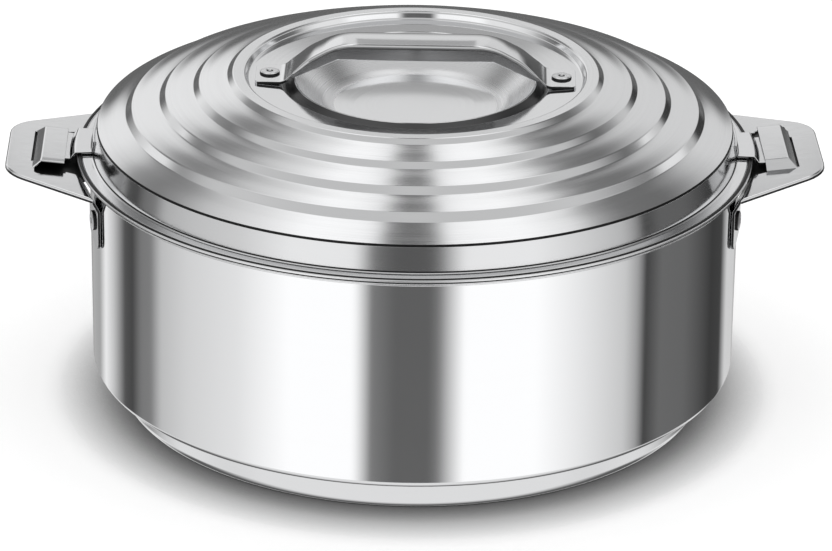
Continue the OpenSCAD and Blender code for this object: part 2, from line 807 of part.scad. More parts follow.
module lid_handle() {
    color(steel)
        difference() {
            rotate([0, 0, lid_handle_turn])
                union() {
                    intersection() {
                        arch_prism(sheet(arch_path, lid_handle_t));
                        plan_prism(0);
                    }
                    difference() {
                        intersection() {
                            arch_prism(lip_outline);
                            plan_prism(0);
                        }
                        plan_prism(lid_handle_t);
                    }
                }
            at_feet()
                translate([0, 0, panel_z - over])
                    cylinder(r = bore_r, h = lid_handle_t + 2 * over);
        }
}

module lid_handle_rivets() {
    color(steel)
        at_feet()
            translate([0, 0, foot_top_z])
                rivet(lid_handle_t + lid_sheet_t + washer_t);
}

module lid_handle_washers() {
    color(steel)
        at_feet()
            translate([0, 0, washer_top_z - washer_t])
                washer();
}
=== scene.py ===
import math

import bmesh
import bpy
from mathutils import Matrix, Vector


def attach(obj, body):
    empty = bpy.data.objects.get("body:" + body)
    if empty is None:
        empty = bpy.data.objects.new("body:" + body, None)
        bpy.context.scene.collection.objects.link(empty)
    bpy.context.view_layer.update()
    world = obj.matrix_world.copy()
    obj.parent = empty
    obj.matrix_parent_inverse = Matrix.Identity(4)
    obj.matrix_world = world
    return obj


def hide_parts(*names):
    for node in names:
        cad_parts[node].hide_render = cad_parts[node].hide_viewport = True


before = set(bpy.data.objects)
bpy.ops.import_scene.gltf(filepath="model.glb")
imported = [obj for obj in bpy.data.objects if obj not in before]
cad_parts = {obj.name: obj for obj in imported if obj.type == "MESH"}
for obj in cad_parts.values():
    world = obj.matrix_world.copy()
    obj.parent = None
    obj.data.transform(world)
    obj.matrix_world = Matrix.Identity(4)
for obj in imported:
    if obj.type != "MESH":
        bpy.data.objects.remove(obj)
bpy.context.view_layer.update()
MM = 0.001

# sizes of the solids, in millimetres and degrees
SHEET, LID_SHEET = 0.8, 0.65
WALL_R, FOOT_Z = 126.5, 14
FLANGE_R, FLANGE_Z = 129.5, 97.7
BOWL_R, BOWL_FLOOR_Z, RIM_Z = 117.5, 24.6, 99.3
BEAD_AT_R, BEAD_AT_Z, BEAD_R = 130.5, 100.1, 1
BASE_R, BASE_RING_R, BASE_FLOOR_Z = 117.5, 115.5, 1.5
LID_EDGE_R, LID_EDGE_Z = 129.2, 100.9
STEPS, STEP_R, STEP_W, STEP_SLOPE_W = 4, 112.2, 13.1, 2.1
STEP_FEET = [115.7, 121.0, 125.867, 130.3]
FIRST_RISE, LAST_RISE = 3.1, 1.8
WELL_FLOOR_R, WELL_FLOOR_Z, WELL_DISH_R = 34.525, 117.3, 24
PLUG_R, PLUG_LOW_Z, LINER_Z = 115.9, 88.6, 99.6
SEAL_IN_R, SEAL_R, SEAL_RIB_R, SEAL_LOW_Z, SEAL_H = 114.9, 116.43, 117.2, 94.5, 4.8
STRAP_T, STRAP_TURN, STRAP_FOOT_Z, STRAP_TOP_Z = 1.2, -2.5, 130.1, 145.3
STRAP_GRIP_X, STRAP_BEND_X, STRAP_END_X = 30, 51, 62
SIDE_RIVET_R, SIDE_RIVET_Z, SIDE_RIVET_ANGLE, LID_RIVET_R = 127.68, 81.8, 13.6, 56.525
PLATE_TILT, PLATE_Z, POCKET_FAR, POCKET_HALF_W = 6, 97.1, 24.8, 27


# profiles
CROWN_STEPS = 16
# Points nearer to the axis than this, in millimetres, lie on it
ON_AXIS = 0.01


def corner(a, b, c, r, step=9):
    """Points [x, z, nx, nz] of a fillet of radius r at b; normals lie right of the travel."""
    u = (a - b).normalized()
    v = (c - b).normalized()
    cross = (b - a).x * (c - b).y - (b - a).y * (c - b).x
    half = math.acos(max(-1, min(1, u.dot(v)))) / 2
    reach = r / math.tan(half)
    reach = min(reach, 0.49 * (a - b).length, 0.49 * (c - b).length)
    r = reach * math.tan(half)
    centre = b + (u + v).normalized() * r / math.sin(half)
    s = b + u * reach - centre
    sweep = math.pi - 2 * half
    n = max(3, int(math.degrees(sweep) / step) + 1)
    turn = 1 if cross > 0 else -1
    out = []
    for i in range(n + 1):
        t = turn * sweep * i / n
        d = Vector((s.x * math.cos(t) - s.y * math.sin(t), s.x * math.sin(t) + s.y * math.cos(t)))
        m = d.normalized() * turn
        out.append((centre.x + d.x, centre.y + d.y, m.x, m.y))
    return out


def path(points, step=9):
    """Dense path through [x, z, fillet radius, crown]; crown bows the piece that follows.

    step is the turn in degrees between the points of a fillet.
    """
    p = [Vector(q[:2]) for q in points]
    radius = [q[2] if len(q) > 2 else 0 for q in points]
    crown = [q[3] if len(q) > 3 else 0 for q in points]
    runs = []
    for i, b in enumerate(p):
        if 0 < i < len(p) - 1 and radius[i] > 0:
            runs.append(corner(p[i - 1], b, p[i + 1], radius[i], step))
            continue
        ends = []
        for j, k in ((i - 1, i), (i, i + 1)):
            if j >= 0 and k < len(p):
                d = (p[k] - p[j]).normalized()
                ends.append((b.x, b.y, d.y, -d.x))
        runs.append(ends)
    out = list(runs[0])
    for i in range(1, len(runs)):
        a, b = Vector(out[-1][:2]), Vector(runs[i][0][:2])
        d = b - a
        if crown[i - 1] and d.length > 1:
            m = Vector((d.y, -d.x)).normalized()
            for j in range(1, CROWN_STEPS):
                t = j / CROWN_STEPS
                q = a + d * t + m * crown[i - 1] * math.sin(math.pi * t) ** 2
                slope = crown[i - 1] * math.pi * math.sin(2 * math.pi * t) / d.length
                w = (m - d.normalized() * slope).normalized()
                out.append((q.x, q.y, w.x, w.y))
        out.extend(runs[i])
    return out


def thick(line, t):
    """Closed section of a sheet: the line is its face and t goes to the left of the travel."""
    def cap(q, sign):
        m = Vector((q[2], q[3]))
        d = Vector((-m.y, m.x))
        mid = Vector((q[0], q[1])) - m * t / 2
        out = []
        for k in range(1, 6):
            a = math.pi * k / 6
            w = (m * math.cos(a) + d * math.sin(a)) * sign
            out.append((mid.x + w.x * t / 2, mid.y + w.y * t / 2, w.x, w.y))
        return out

    out = list(line)
    if abs(line[-1][0]) > ON_AXIS:
        out += cap(line[-1], 1)
    out += [(q[0] - q[2] * t, q[1] - q[3] * t, -q[2], -q[3]) for q in reversed(line)]
    if abs(line[0][0]) > ON_AXIS:
        out += cap(line[0], -1)
    return out


def lathe(name, section, materials, body, stands_for, segments=256, places=None, zones=()):
    """Turned piece from a closed section [r, z, nr, nz] in millimetres, with exact normals.

    places are matrices, for a piece that is there more than once. zones are (radius low,
    radius high, lowest z, material number) for faces with another finish or with painted
    shade; the last one that holds a face wins.
    """
    verts, normals, faces, finish_and_shade = [], [], [], []
    for place in places or [Matrix.Identity(4)]:
        spin = place.to_3x3()
        rings = []
        for r, z, nr, nz in section:
            if abs(r) < ON_AXIS:
                rings.append([len(verts)] * segments)
                verts.append((place @ Vector((0, 0, z))) * MM)
                normals.append(spin @ Vector((0, 0, 1 if nz > 0 else -1)))
                continue
            ring = []
            for i in range(segments):
                a = 2 * math.pi * i / segments
                ring.append(len(verts))
                verts.append((place @ Vector((r * math.cos(a), r * math.sin(a), z))) * MM)
                normals.append(spin @ Vector((nr * math.cos(a), nr * math.sin(a), nz)))
            rings.append(ring)
        at = [Vector(q[:2]) for q in section]
        for k in range(len(rings)):
            low, high = rings[k - 1], rings[k]
            p, q = at[k - 1], at[k]
            if (p - q).length < 1e-5 or (p.x < ON_AXIS and q.x < ON_AXIS):
                continue
            mid = (p + q) / 2
            number = 0
            for r0, r1, z0, other in zones:
                if r0 <= mid.x <= r1 and mid.y >= z0:
                    number = other
            for i in range(segments):
                j = (i + 1) % segments
                quad = []
                for v in (low[i], low[j], high[j], high[i]):
                    if v not in quad:
                        quad.append(v)
                faces.append(quad)
                finish_and_shade.append(number)
    mesh = bpy.data.meshes.new(name)
    mesh.from_pydata(verts, [], faces)
    mesh.update()
    mesh.polygons.foreach_set("use_smooth", [True] * len(faces))
    mesh.polygons.foreach_set("material_index", finish_and_shade)
    mesh.normals_split_custom_set_from_vertices([v.normalized() for v in normals])
    for material in materials:
        mesh.materials.append(material)
    return carried(name, mesh, body, stands_for)


def carried(name, mesh, body, stands_for):
    """Object of a mesh that rides on a body and stands for CAD nodes."""
    obj = bpy.data.objects.new(name, mesh)
    bpy.context.scene.collection.objects.link(obj)
    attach(obj, body)
    if stands_for:
        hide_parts(*stands_for)
    return obj


def smooth_shade(mesh, angle):
    """Smooth shading with creases kept sharp, by the angle between faces in degrees."""
    mesh.polygons.foreach_set("use_smooth", [True] * len(mesh.polygons))
    bm = bmesh.new()
    bm.from_mesh(mesh)
    for edge in bm.edges:
        if len(edge.link_faces) == 2 and edge.calc_face_angle(0) > math.radians(angle):
            edge.smooth = False
    bm.to_mesh(mesh)
    bm.free()


# materials
class Nodes:
    """Small helper round a node tree."""

    def __init__(self, tree):
        self.tree = tree

    def add(self, kind, **values):
        node = self.tree.nodes.new(kind)
        for k, v in values.items():
            setattr(node, k, v)
        return node

    def link(self, a, b):
        self.tree.links.new(a, b)

    def math(self, op, *values):
        """Math node; each value is a number or a socket."""
        node = self.add("ShaderNodeMath", operation=op)
        for socket, value in zip(node.inputs, values):
            if isinstance(value, (int, float)):
                socket.default_value = value
            else:
                self.link(value, socket)
        return node.outputs[0]

    def times(self, a, b):
        return self.math("MULTIPLY", a, b)

    def ramp(self, fac, stops):
        """Grey ramp through [position, level] stops."""
        node = self.add("ShaderNodeValToRGB")
        node.color_ramp.interpolation = "LINEAR"
        elements = node.color_ramp.elements
        while len(elements) > 1:
            elements.remove(elements[-1])
        elements[0].position = stops[0][0]
        elements[0].color = (stops[0][1],) * 3 + (1,)
        for at, level in stops[1:]:
            element = elements.new(at)
            element.color = (level,) * 3 + (1,)
        self.link(fac, node.inputs[0])
        return node.outputs[0]

    def mapped(self, value, a, b, c, d):
        """Takes a..b to c..d and stays there beyond them."""
        node = self.add("ShaderNodeMapRange")
        for socket, v in zip(node.inputs[1:5], (a, b, c, d)):
            socket.default_value = v
        self.link(value, node.inputs[0])
        return node.outputs[0]


def new_material(name):
    mat = bpy.data.materials.new(name)
    mat.use_nodes = True
    n = Nodes(mat.node_tree)
    shader = mat.node_tree.nodes["Principled BSDF"]
    return mat, n, shader


def steel(name, colour, rough, aniso, lines, line_scale, depth, spread, smudge, tone=0.02):
    """Turned or brushed steel: fine lines in bump and roughness, soft cloudy handling marks.

    lines is "ring" for lines round the Z axis and "x" for lines along X. depth is the strength
    of the bump, spread and smudge vary the roughness, and tone varies the colour.
    """
    mat, n, shader = new_material(name)
    place = n.add("ShaderNodeTexCoord")
    split = n.add("ShaderNodeSeparateXYZ")
    n.link(place.outputs["Object"], split.inputs[0])
    x, y, z = split.outputs
    join = n.add("ShaderNodeCombineXYZ")
    if lines == "ring":
        radius = n.math("SQRT", n.math("ADD", n.times(x, x), n.times(y, y)))
        n.link(n.times(n.math("ADD", radius, n.times(z, 0.8)), line_scale),
               join.inputs[0])
        n.link(n.times(x, 9), join.inputs[1])
        n.link(n.times(y, 9), join.inputs[2])
    else:
        n.link(n.times(x, 30), join.inputs[0])
        n.link(n.times(y, line_scale), join.inputs[1])
        n.link(n.times(z, line_scale), join.inputs[2])
    fine = n.add("ShaderNodeTexNoise")
    fine.inputs["Scale"].default_value = 1
    fine.inputs["Detail"].default_value = 3
    n.link(join.outputs[0], fine.inputs["Vector"])
    cloud = n.add("ShaderNodeTexNoise")
    cloud.inputs["Scale"].default_value = 38
    cloud.inputs["Detail"].default_value = 4
    n.link(place.outputs["Object"], cloud.inputs["Vector"])
    marks = n.mapped(cloud.outputs["Fac"], 0.35, 0.7, 0, smudge)
    grain = n.mapped(fine.outputs["Fac"], 0.3, 0.7, -spread, spread)
    n.link(n.math("ADD", n.math("ADD", grain, marks), rough), shader.inputs["Roughness"])
    tint = n.add("ShaderNodeMix", data_type="RGBA")
    tint.inputs["A"].default_value = (colour * 0.985, colour * 0.99, colour, 1)
    tint.inputs["B"].default_value = (*[colour * (v - tone) for v in (0.985, 0.99, 1)], 1)
    n.link(n.mapped(fine.outputs["Fac"], 0.35, 0.75, 0, 1), tint.inputs["Factor"])
    n.link(tint.outputs["Result"], shader.inputs["Base Color"])
    bump = n.add("ShaderNodeBump")
    bump.inputs["Strength"].default_value = depth
    bump.inputs["Distance"].default_value = 0.0001
    n.link(fine.outputs["Fac"], bump.inputs["Height"])
    n.link(bump.outputs[0], shader.inputs["Normal"])
    shader.inputs["Metallic"].default_value = 1
    if aniso:
        tangent = n.add("ShaderNodeTangent", direction_type="RADIAL", axis="Z")
        n.link(tangent.outputs[0], shader.inputs["Tangent"])
        shader.inputs["Anisotropic"].default_value = aniso
        shader.inputs["Anisotropic Rotation"].default_value = 0.25
    return mat


def soft_plastic(name, colour, rough, cell, depth):
    """Rubber or foam with a fine cellular surface."""
    mat, n, shader = new_material(name)
    place = n.add("ShaderNodeTexCoord")
    noise = n.add("ShaderNodeTexNoise")
    noise.inputs["Scale"].default_value = cell
    noise.inputs["Detail"].default_value = 5
    n.link(place.outputs["Object"], noise.inputs["Vector"])
    tint = n.add("ShaderNodeMix", data_type="RGBA")
    tint.inputs["A"].default_value = (*[c * 0.88 for c in colour], 1)
    tint.inputs["B"].default_value = (*colour, 1)
    n.link(n.mapped(noise.outputs["Fac"], 0.35, 0.65, 0, 1), tint.inputs["Factor"])
    n.link(tint.outputs["Result"], shader.inputs["Base Color"])
    n.link(n.mapped(noise.outputs["Fac"], 0.3, 0.7, rough - 0.08, rough + 0.08),
           shader.inputs["Roughness"])
    bump = n.add("ShaderNodeBump")
    bump.inputs["Strength"].default_value = depth
    bump.inputs["Distance"].default_value = 0.0003
    n.link(noise.outputs["Fac"], bump.inputs["Height"])
    n.link(bump.outputs[0], shader.inputs["Normal"])
    return mat


MIRROR = steel("polished_wall_steel", 0.84, 0.085, 0.7, "ring", 2400, 0.003, 0.003, 0.01, 0.006)
SOFT = steel("well_side_steel", 0.85, 0.27, 0.0, "ring", 2600, 0.01, 0.02, 0.02)
SATIN = steel("spun_lid_steel", 0.85, 0.13, 0.5, "ring", 2600, 0.01, 0.02, 0.02)
PANEL = steel("lid_panel_steel", 0.85, 0.07, 0.0, "ring", 2600, 0.006, 0.015, 0.02)
# Dark steel for painted shade in the groove round the lid panel
GROOVE_SHADE = steel("painted_shade_groove_steel", 0.1, 0.3, 0.0, "ring", 2600, 0.05, 0.05, 0.04)
# Near-black steel for painted shade on edges, seams, gaps and undersides
SHADE = steel("painted_shade_edge_steel", 0.035, 0.4, 0.0, "x", 1500, 0.05, 0.05, 0.04)
# Grey steel for painted shade on the strap's turned-down edges and in the seam above the base pan
MID_SHADE = steel("painted_shade_lip_steel", 0.3, 0.2, 0.0, "x", 1500, 0.03, 0.04, 0.04)
BRIGHT = steel("bright_trim_steel", 0.84, 0.09, 0.0, "x", 1500, 0.01, 0.02, 0.02)
BEAD = steel("bead_steel", 0.84, 0.3, 0.0, "ring", 2600, 0.01, 0.02, 0.02)
INSIDE = steel("bowl_inside_steel", 0.8, 0.22, 0.6, "ring", 1700, 0.05, 0.05, 0.04)
RIVET = steel("rivet_steel", 0.82, 0.3, 0.0, "x", 900, 0.02, 0.03, 0.03)
SILICONE = soft_plastic("silicone_white", (0.78, 0.78, 0.76), 0.5, 900, 0.1)
FOAM = soft_plastic("insulating_foam", (0.72, 0.6, 0.34), 0.9, 420, 0.6)
PLUG = soft_plastic("black_plug", (0.03, 0.03, 0.032), 0.45, 700, 0.2)

# turned pieces
# The zones here are painted shade in the edges and seams that look dark.
wall = path([(10, FOOT_Z), (WALL_R, FOOT_Z, 2.8), (WALL_R, FLANGE_Z, 1.2), (FLANGE_R, FLANGE_Z)])
lathe("pot_wall", thick(wall, SHEET), [MIRROR, SHADE], "pot", ["outer_body"],
      zones=[(126, 129.4, 97.6, 1)])

bowl = path([(130.1, RIM_Z), (BOWL_R, RIM_Z, 1.2), (BOWL_R, BOWL_FLOOR_Z, 15), (0, BOWL_FLOOR_Z)])
lathe("bowl", thick(bowl, SHEET), [INSIDE, SHADE], "pot", ["inner_bowl"],
      zones=[(128.6, 130.2, 98, 1)])
bead = []
for i in range(48):
    a = 2 * math.pi * i / 48
    bead.append((BEAD_AT_R + BEAD_R * math.cos(a), BEAD_AT_Z + BEAD_R * math.sin(a),
                 math.cos(a), math.sin(a)))
# The bead is part of inner_bowl, which the bowl stands for already.
# Painted shade: the bead is dark on its lower part and on its inner top, bright between
lathe("rim_bead", bead, [BEAD, SHADE], "pot", [],
      zones=[(0, 200, 0, 1), (0, 200, 99.97, 0), (0, 131.2, 100.76, 1)])

base = path([(0, BASE_FLOOR_Z), (93.5, BASE_FLOOR_Z, 1.2), (96.5, 0, 1.2), (BASE_RING_R, 0, 5),
             (BASE_R, FOOT_Z, 1.2), (108.5, FOOT_Z)])
lathe("base_pan", thick(base, SHEET), [MIRROR, MID_SHADE], "pot", ["base_cover"],
      zones=[(114, 118, 10.1, 1)])

bands = []
for i, step_z in enumerate(STEP_FEET):
    rise = FIRST_RISE + (LAST_RISE - FIRST_RISE) * i / (STEPS - 1)
    step_r = STEP_R - STEP_W * i
    bands += [(step_r, step_z, 1.1), (step_r - STEP_SLOPE_W, step_z + rise, 1.1, 0.13)]
# The floor of the well is part of a ball 1 mm deep at its edge.
ball = (WELL_FLOOR_R ** 2 + 1) / 2
ball_z = WELL_FLOOR_Z + ball
lid = path([(LID_EDGE_R, LID_EDGE_Z), (125.3, LID_EDGE_Z, 1.0), (123.63, 110.6, 0.25),
            (123.13, 110.95, 0.2), (123.5, 111.4, 0.45, 0.15)] + bands[:-1]
           + [(*bands[-1][:2], 1.0), (66, 132.1, 1.1), (65.025, 129.1, 1.1),
              (52.125, 128.5, 1.1), (50.625, 126.5, 0.75), (46.525, 128.9, 0.9),
              (WELL_FLOOR_R, WELL_FLOOR_Z + 1, 8),
              (WELL_DISH_R, ball_z - math.sqrt(ball ** 2 - WELL_DISH_R ** 2))])
for i in range(1, 24):
    a = math.asin(WELL_DISH_R / ball) * (1 - i / 23)
    lid.append((ball * math.sin(a), ball_z - ball * math.cos(a), -math.sin(a), math.cos(a)))
# Zones: panel and well, painted shade in the groove, the undercut below the edge and the foot of
# the skirt, side of the well.
lathe("lid_shell", thick(lid, LID_SHEET), [SATIN, PANEL, GROOVE_SHADE, SHADE, SOFT], "lid", ["lid_outer"],
      zones=[(0, 66.5, 110, 1), (46.9, 50.95, 125.5, 2), (122.9, 123.62, 110.5, 3),
             (125.17, 125.4, 101.05, 3), (31.3, 45.9, 110, 4)])

liner = path([(0, PLUG_LOW_Z), (PLUG_R, PLUG_LOW_Z, 1.95), (PLUG_R, 92.9, 0.7), (114.6, 94.2, 0.7),
              (114.6, LINER_Z, 1.0), (128.875, LINER_Z)])
lathe("lid_liner", thick(liner, LID_SHEET), [INSIDE], "lid", ["lid_inner"])

seal_high = SEAL_LOW_Z + SEAL_H
ring = [(SEAL_IN_R, SEAL_LOW_Z, 0.3), (SEAL_R, SEAL_LOW_Z, 0.3)]
for i in range(7):
    ring.append((SEAL_RIB_R if i % 4 in (1, 2) else SEAL_R,
                 SEAL_LOW_Z + SEAL_H * 0.12 * (i + 1), 0.22))
ring += [(SEAL_R, seal_high, 0.3), (SEAL_IN_R, seal_high, 0.3)]
seam = (SEAL_IN_R, SEAL_LOW_Z + SEAL_H / 2)
lathe("seal", path([seam] + ring + [seam]), [SILICONE], "seal", ["seal_ring"])

# lid handle
def arch_at(x):
    """Height of the top of the lid handle and its slope at a distance from the middle."""
    x = abs(x)
    for p, q in zip(ARCH, ARCH[1:]):
        if q[0] <= x <= p[0]:
            t = (x - q[0]) / max(1e-9, p[0] - q[0])
            nx = q[2] + (p[2] - q[2]) * t
            nz = q[3] + (p[3] - q[3]) * t
            return q[1] + (p[1] - q[1]) * t, nz / math.hypot(nx, nz)
    return ARCH[-1][1], 1


def strap(name, material, body, stands_for):
    """Bent strap with flat feet, a crowned grip and edges rolled down along it."""
    t = STRAP_T
    # Where the cross sections stand: closer together round the ends and the bends
    xs = [STRAP_END_X, STRAP_END_X - 0.12, STRAP_END_X - 0.3]
    for far, near, count in ((STRAP_END_X - 0.3, 60, 5), (60, STRAP_BEND_X, 8),
                             (STRAP_BEND_X, 45, 14), (45, 28, 26), (28, 0, 14)):
        xs += [far + (near - far) * i / count for i in range(1, count + 1)]
    xs += [-x for x in xs[-2::-1]]
    loops = []
    for x in xs:
        a = abs(x)
        top, lean = arch_at(x)
        # Half the width: wider at the feet, rounded at their corners
        w = 8 + 1.6 * min(1, max(0, (a - STRAP_GRIP_X) / (STRAP_BEND_X - STRAP_GRIP_X)))
        if a > 60.1:
            w -= 1.9 - math.sqrt(max(0, 1.9 ** 2 - (a - 60.1) ** 2))
        # Foot of the edges that are turned down; they run out where the feet begin
        low = top - t
        if a <= 47.4:
            low = min(low, 138.9 + (131.3 - 138.9) * max(0, a - STRAP_GRIP_X) / 17.4)
        drop = 0.3 if a > 61.95 else 0.08 if a > 61.8 else 0
        top -= drop
        w -= drop
        under = max(top - t / lean, low)
        bend = min(1.7, max(0.3, (top - low - t) / 2 + 0.3))
        crown = 0.4 * min(1, max(0, (50 - a) / 10))
        lift = 0.05 if a > 50 else 0.3
        left = [(-w, low + lift), (-w, (low + lift + top - bend) / 2),
                (-w, top - bend - crown * 0.8)]
        for k in range(1, 7):
            q = math.radians(90 * k / 7)
            left.append((-w + bend * (1 - math.cos(q)),
                         top - bend - crown * 0.8 + bend * math.sin(q)))
        flat = w - bend
        mid = [(y * flat, top - crown * 0.8 * y * y) for y in
               (-1, -0.97, -0.85, -0.6, -0.3, 0, 0.3, 0.6, 0.85, 0.97, 1)]
        outer = left + mid + [(-y, z) for y, z in left[::-1]]
        v = w - t
        inner = [(w - lift, low), (v + 0.3, low), (v, min(low + 0.3, under)), (v, under),
                 (v * 0.9, under), (0, under), (-v * 0.9, under), (-v, under),
                 (-v, min(low + 0.3, under)), (-v - 0.3, low), (-w + lift, low)]
        loops.append([Vector((x, y, z)) for y, z in outer + inner])
    turn = Matrix.Rotation(math.radians(STRAP_TURN), 3, "Z")
    verts = [(turn @ p) * MM for loop in loops for p in loop]
    count = len(loops[0])
    faces = []
    for i in range(len(loops) - 1):
        for j in range(count):
            k = (j + 1) % count
            faces.append((i * count + j, i * count + k, (i + 1) * count + k, (i + 1) * count + j))
    faces.append(tuple(range(count)))
    faces.append(tuple(reversed(range((len(loops) - 1) * count, len(loops) * count))))
    mesh = bpy.data.meshes.new(name)
    mesh.from_pydata(verts, [], faces)
    bm = bmesh.new()
    bm.from_mesh(mesh)
    bmesh.ops.remove_doubles(bm, verts=bm.verts, dist=1e-6)
    bmesh.ops.recalc_face_normals(bm, faces=bm.faces)
    bm.to_mesh(mesh)
    bm.free()
    smooth_shade(mesh, 38)
    for finish_and_shade in (material, MID_SHADE, SHADE):
        mesh.materials.append(finish_and_shade)
    # Faces turned along Y, the turned-down edges and the ends of the feet, get painted shade
    for face in mesh.polygons:
        if abs(face.normal.y) > 0.8:
            face.material_index = 1 if abs(face.center.x) < 50 * MM else 2  # edges, feet
    obj = carried(name, mesh, body, stands_for)
    weighted = obj.modifiers.new("even_flats", "WEIGHTED_NORMAL")
    weighted.keep_sharp = True
    return obj


leg = Vector((STRAP_GRIP_X - STRAP_BEND_X, STRAP_TOP_Z - STRAP_FOOT_Z))
bulge = Vector((leg.y, -leg.x)).normalized() * 1.8
knee = (STRAP_BEND_X + leg.x / 2 + bulge.x, STRAP_FOOT_Z + leg.y / 2 + bulge.y)
ARCH = path([(62.5, STRAP_FOOT_Z), (STRAP_BEND_X, STRAP_FOOT_Z, 4.2), (*knee, 22),
             (STRAP_GRIP_X, STRAP_TOP_Z, 26), (0, STRAP_TOP_Z)], 3)
strap("lid_strap", BRIGHT, "lid", ["lid_handle"])


# rivets
def rivet_section(grip):
    """Low flat head with a pressed ring round a small nub, shank and formed end."""
    head = [(0, 1.15), (0.75, 1.1, 0.35), (1.1, 0.85, 0.3), (1.7, 1.15, 0.5), (3.1, 1.02, 0.8),
            (3.8, 0.68, 0.3), (3.9, 0.15, 0.2), (3.85, 0, 0.1), (2, 0, 0.1), (2, -grip, 0.1),
            (2.8, -grip, 0.3), (2.8, -grip - 1, 0.5), (0, -grip - 1)]
    return path(head[::-1])


def spun(a):
    """Turn round the pot axis, in degrees."""
    return Matrix.Rotation(math.radians(a), 4, "Z")


# Painted shade on the side of the head and in its pressed ring
RIVET_DARK = [(3.66, 4, -0.1, 1), (0.65, 1.3, 0.7, 1)]
on_side = Matrix.Rotation(math.radians(90), 4, "Y")
for side, start in (("right", 0), ("left", 180)):
    spots = [spun(start + a) @ Matrix.Translation((SIDE_RIVET_R, 0, SIDE_RIVET_Z)) @ on_side
             for a in (-SIDE_RIVET_ANGLE, SIDE_RIVET_ANGLE)]
    lathe(side + "_rivets", rivet_section(3.2), [RIVET, SHADE], "pot",
          [side + "_handle_rivets"], 48, spots, RIVET_DARK)
spots = [spun(a + STRAP_TURN) @ Matrix.Translation((LID_RIVET_R, 0, STRAP_FOOT_Z))
         for a in (0, 180)]
lathe("lid_rivets", rivet_section(2.85), [RIVET, SHADE], "lid", ["lid_handle_rivets"], 48, spots,
      RIVET_DARK)


# pressed sheet pieces
def pressed(node, name, body, sizes, width, dark):
    """The CAD sheet with its edges rounded; sizes(point, point) gives the share of the width.

    dark(centre, normal) tells which faces get painted shade.
    """
    bm = bmesh.new()
    bm.from_mesh(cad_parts[node].data)
    bmesh.ops.remove_doubles(bm, verts=bm.verts, dist=3e-6)
    bmesh.ops.dissolve_limit(bm, angle_limit=math.radians(0.8), verts=bm.verts, edges=bm.edges)
    layer = bm.edges.layers.float.new("bevel_weight_edge")
    for edge in bm.edges:
        if len(edge.link_faces) == 2 and edge.calc_face_angle(0) > math.radians(24):
            a, b = (v.co / MM for v in edge.verts)
            edge[layer] = sizes(a, b)
    mesh = bpy.data.meshes.new(name)
    bm.to_mesh(mesh)
    bm.free()
    mesh.polygons.foreach_set("use_smooth", [True] * len(mesh.polygons))
    mesh.materials.clear()
    mesh.materials.append(BRIGHT)
    mesh.materials.append(SHADE)
    for face in mesh.polygons:
        face.material_index = 1 if dark(face.center / MM, face.normal) else 0
    obj = carried(name, mesh, body, [node])
    bevel = obj.modifiers.new("rounded_edges", "BEVEL")
    bevel.limit_method = "WEIGHT"
    bevel.width = width * MM
    bevel.segments = 4
    bevel.material = 0
    bevel.use_clamp_overlap = False
    weighted = obj.modifiers.new("even_flats", "WEIGHTED_NORMAL")
    weighted.weight = 80
    return obj


def on_plate(p):
    """A point as [distance from the pot wall, across, height] in the plane of a side handle."""
    u, z = abs(p.x) - WALL_R, p.z - PLATE_Z
    tilt = math.radians(PLATE_TILT)
    return (u * math.cos(tilt) + z * math.sin(tilt), p.y if p.x > 0 else -p.y,
            z * math.cos(tilt) - u * math.sin(tilt))


def by_pocket(along, v):
    return along < POCKET_FAR and abs(v) < POCKET_HALF_W


def plate_dark(p, normal):
    """Painted shade: inside of the pocket, the cut edge turned down round the plate and edges of
    the ears.
    """
    along, v, w = on_plate(p)
    out = Vector((p.x, p.y, 0)).normalized().dot(normal)
    if p.z < 94:
        return abs(out) < 0.5 and abs(normal.z) < 0.7
    if by_pocket(along, v):
        return (w < -0.2 or (w < 2.8 and normal.z < -0.4)
                or (w > 1.5 and along < 9.7 and out < -0.7))
    return w < -0.2 and abs(normal.z) < 0.3


def plate_sizes(a, b):
    """Edges of a side handle: a roll along its outside, soft folds on the pocket."""
    along, v, w = on_plate((a + b) / 2)
    short = (a - b).length < 0.6
    if by_pocket(along, v) and w > -2:
        if w < -0.3 or short:
            return 0
        return 0.6 if w > 1.2 and along > 9.8 else 0.15
    return 1.0 if abs(w) < 0.08 and not short else 0.12


for side in ("right", "left"):
    pressed(side + "_handle", side + "_handle_plate", "pot", plate_sizes, 0.8, plate_dark)
    # The sides of the lug tongue get painted shade
    pressed(side + "_lug", side + "_lug_tongue", "lid", lambda a, b: 1, 0.2,
            lambda p, normal: abs(normal.z) < 0.35)

# Hidden pieces, drawn from the solids as they are
for node, mat in (("body_foam", FOAM), ("lid_foam", FOAM), ("foam_plug", PLUG),
                  ("right_handle_washers", RIVET), ("left_handle_washers", RIVET),
                  ("lid_handle_washers", RIVET)):
    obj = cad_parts[node]
    obj.data.materials.clear()
    obj.data.materials.append(mat)

# floor
FLOOR_HALF = 9
plane = bpy.data.meshes.new("floor")
plane.from_pydata([(x * FLOOR_HALF, y * FLOOR_HALF, 0) for x, y in
                   ((-1, -1), (1, -1), (1, 1), (-1, 1))], [], [(0, 1, 2, 3)])
floor = bpy.data.objects.new("floor", plane)
bpy.context.scene.collection.objects.link(floor)
mat = bpy.data.materials.new("floor_white")
mat.use_nodes = True
n = Nodes(mat.node_tree)
mat.node_tree.nodes.remove(mat.node_tree.nodes["Principled BSDF"])
ray = n.add("ShaderNodeLightPath")
